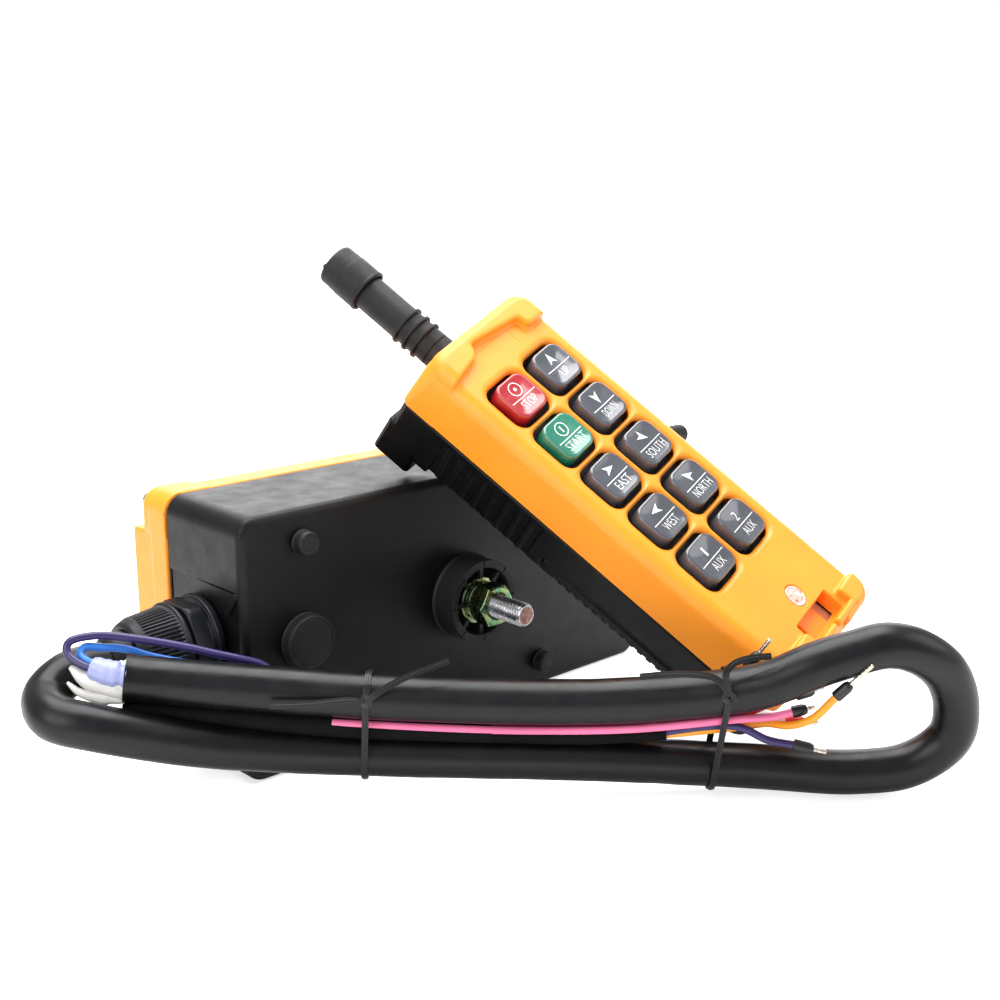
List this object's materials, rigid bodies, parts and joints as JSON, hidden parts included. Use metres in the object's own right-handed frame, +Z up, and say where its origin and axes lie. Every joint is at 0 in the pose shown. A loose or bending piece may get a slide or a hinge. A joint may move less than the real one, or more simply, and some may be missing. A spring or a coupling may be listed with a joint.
{
  "type": "pendant control station",
  "caption": "Radio pendant control: orange hand transmitter with push buttons, leaning on its receiver box with a coiled lead",
  "frame": {"origin": "centre of the flat end face of the mounting stud that stands out of the receiver's back", "axes": "X along the receiver's length away from the cable gland, -Y out of the face that carries the stud, Z up with the receiver lying on its long side"},
  "size_m": [0.3553, 0.272, 0.1939],
  "materials": {
    "orange_shell": "moulded, fine satin grain",
    "black_shell": "moulded, fine satin grain",
    "black_rubber": "soft satin",
    "cable_sheath": "smooth, slightly glossy sheath",
    "keypad_silicone": "translucent matte",
    "button_red": "glossy cap",
    "button_green": "glossy cap",
    "button_grey": "glossy cap",
    "led_lens": "clear tinted lens",
    "yellow_zinc": "yellow passivated zinc plate",
    "steel": "bright zinc plate",
    "circuit_board": "solder resist",
    "relay_case": "moulded case",
    "transformer": "varnished laminations",
    "terminal_green": "moulded",
    "battery": "printed can",
    "wire_violet": "extruded insulation",
    "wire_blue": "extruded insulation",
    "wire_white": "extruded insulation",
    "wire_red": "extruded insulation",
    "wire_pink": "extruded insulation",
    "wire_orange": "extruded insulation"
  },
  "bodies": {
    "receiver": {"receiver_housing": "black_shell", "cover_gasket": "black_rubber", "receiver_circuit_board": "circuit_board", "relay_bank": "relay_case", "transformer": "transformer", "terminal_block": "terminal_green", "mount_damper": "black_rubber", "mount_stud": "steel", "plug_small_1": "black_rubber", "plug_small_2": "black_rubber", "plug_large": "black_rubber", "gland_body": "black_shell", "gland_locknut": "black_shell", "gland_seal": "black_rubber", "receiver_antenna_base": "black_shell", "cable": "cable_sheath", "cable_tie_1": "cable_sheath", "cable_tie_2": "cable_sheath", "wire_violet": "wire_violet", "wire_blue": "wire_blue", "wire_white": "wire_white", "wire_red": "wire_red", "wire_pink": "wire_pink", "wire_orange": "wire_orange"},
    "receiver_cover": {"receiver_cover": "orange_shell", "cover_screw_1": "steel", "cover_screw_2": "steel", "cover_screw_3": "steel", "cover_screw_4": "steel"},
    "mount_washers": {"flat_washer": "yellow_zinc", "spring_washer": "yellow_zinc"},
    "mount_nut": {"mount_nut": "yellow_zinc"},
    "gland_nut": {"gland_nut": "black_shell"},
    "receiver_antenna": {"receiver_antenna": "black_rubber"},
    "handset": {"handset_front_shell": "orange_shell", "handset_rear_shell": "black_shell", "handset_seam_gasket": "black_rubber", "handset_circuit_board": "circuit_board", "keypad_membrane": "keypad_silicone", "led_lens": "led_lens", "antenna_base": "black_rubber", "battery_1": "battery", "battery_2": "battery", "case_screw_1": "steel", "case_screw_2": "steel", "case_screw_3": "steel", "case_screw_4": "steel"},
    "handset_antenna": {"antenna_rod": "black_rubber", "antenna_cap": "black_rubber"},
    "battery_door": {"battery_door": "black_shell"},
    "button_stop": {"button_stop": "button_red"},
    "button_up": {"button_up": "button_grey"},
    "button_start": {"button_start": "button_green"},
    "button_down": {"button_down": "button_grey"},
    "button_east": {"button_east": "button_grey"},
    "button_south": {"button_south": "button_grey"},
    "button_west": {"button_west": "button_grey"},
    "button_north": {"button_north": "button_grey"},
    "button_aux_1": {"button_aux_1": "button_grey"},
    "button_aux_2": {"button_aux_2": "button_grey"}
  },
  "joints": [
    {"name": "receiver_cover_lift", "type": "slide", "parent": "receiver", "child": "receiver_cover", "axis": [0, 1, 0], "range_m": [0, 0.06]},
    {"name": "mount_washers_slide", "type": "slide", "parent": "receiver", "child": "mount_washers", "axis": [0, -1, 0], "range_m": [0, 0.0135]},
    {"name": "mount_nut_turn", "type": "hinge", "parent": "mount_washers", "child": "mount_nut", "pos_m": [0, 0.02, 0], "axis": [0, -1, 0], "range_deg": [0, 3240]},
    {"name": "gland_nut_turn", "type": "hinge", "parent": "receiver", "child": "gland_nut", "pos_m": [-0.13, 0.066, 0], "axis": [-1, 0, 0], "continuous": true},
    {"name": "receiver_antenna_flex", "type": "hinge", "parent": "receiver", "child": "receiver_antenna", "pos_m": [0.1185, 0.061, 0.042], "axis": [0, 1, 0], "range_deg": [-8, 8], "stiffness_Nm_per_rad": 0.05},
    {"name": "handset_lift", "type": "slide", "parent": "receiver", "child": "handset", "axis": [0, 0, 1], "range_m": [0, 0.15]},
    {"name": "handset_antenna_flex", "type": "hinge", "parent": "handset", "child": "handset_antenna", "pos_m": [-0.00162, 0.05591, 0.10329], "axis": [0.9202, 0.154, 0.36], "range_deg": [-8, 8], "stiffness_Nm_per_rad": 0.05},
    {"name": "battery_door_slide", "type": "slide", "parent": "handset", "child": "battery_door", "axis": [0.355, -0.7162, -0.6009], "range_m": [0, 0.012]},
    {"name": "button_stop_press", "type": "slide", "parent": "handset", "child": "button_stop", "axis": [0.1653, 0.6807, -0.7136], "range_m": [0, 0.0015], "stiffness_N_per_m": 60},
    {"name": "button_up_press", "type": "slide", "parent": "handset", "child": "button_up", "axis": [0.1653, 0.6807, -0.7136], "range_m": [0, 0.0015], "stiffness_N_per_m": 60},
    {"name": "button_start_press", "type": "slide", "parent": "handset", "child": "button_start", "axis": [0.1653, 0.6807, -0.7136], "range_m": [0, 0.0015], "stiffness_N_per_m": 60},
    {"name": "button_down_press", "type": "slide", "parent": "handset", "child": "button_down", "axis": [0.1653, 0.6807, -0.7136], "range_m": [0, 0.0015], "stiffness_N_per_m": 60},
    {"name": "button_east_press", "type": "slide", "parent": "handset", "child": "button_east", "axis": [0.1653, 0.6807, -0.7136], "range_m": [0, 0.0015], "stiffness_N_per_m": 60},
    {"name": "button_south_press", "type": "slide", "parent": "handset", "child": "button_south", "axis": [0.1653, 0.6807, -0.7136], "range_m": [0, 0.0015], "stiffness_N_per_m": 60},
    {"name": "button_west_press", "type": "slide", "parent": "handset", "child": "button_west", "axis": [0.1653, 0.6807, -0.7136], "range_m": [0, 0.0015], "stiffness_N_per_m": 60},
    {"name": "button_north_press", "type": "slide", "parent": "handset", "child": "button_north", "axis": [0.1653, 0.6807, -0.7136], "range_m": [0, 0.0015], "stiffness_N_per_m": 60},
    {"name": "button_aux_1_press", "type": "slide", "parent": "handset", "child": "button_aux_1", "axis": [0.1653, 0.6807, -0.7136], "range_m": [0, 0.0015], "stiffness_N_per_m": 60},
    {"name": "button_aux_2_press", "type": "slide", "parent": "handset", "child": "button_aux_2", "axis": [0.1653, 0.6807, -0.7136], "range_m": [0, 0.0015], "stiffness_N_per_m": 60}
  ],
  "couplings": [
    {"joint": "mount_nut_turn", "follows": "mount_washers_slide", "rad_per_m": 4188.8}
  ]
}
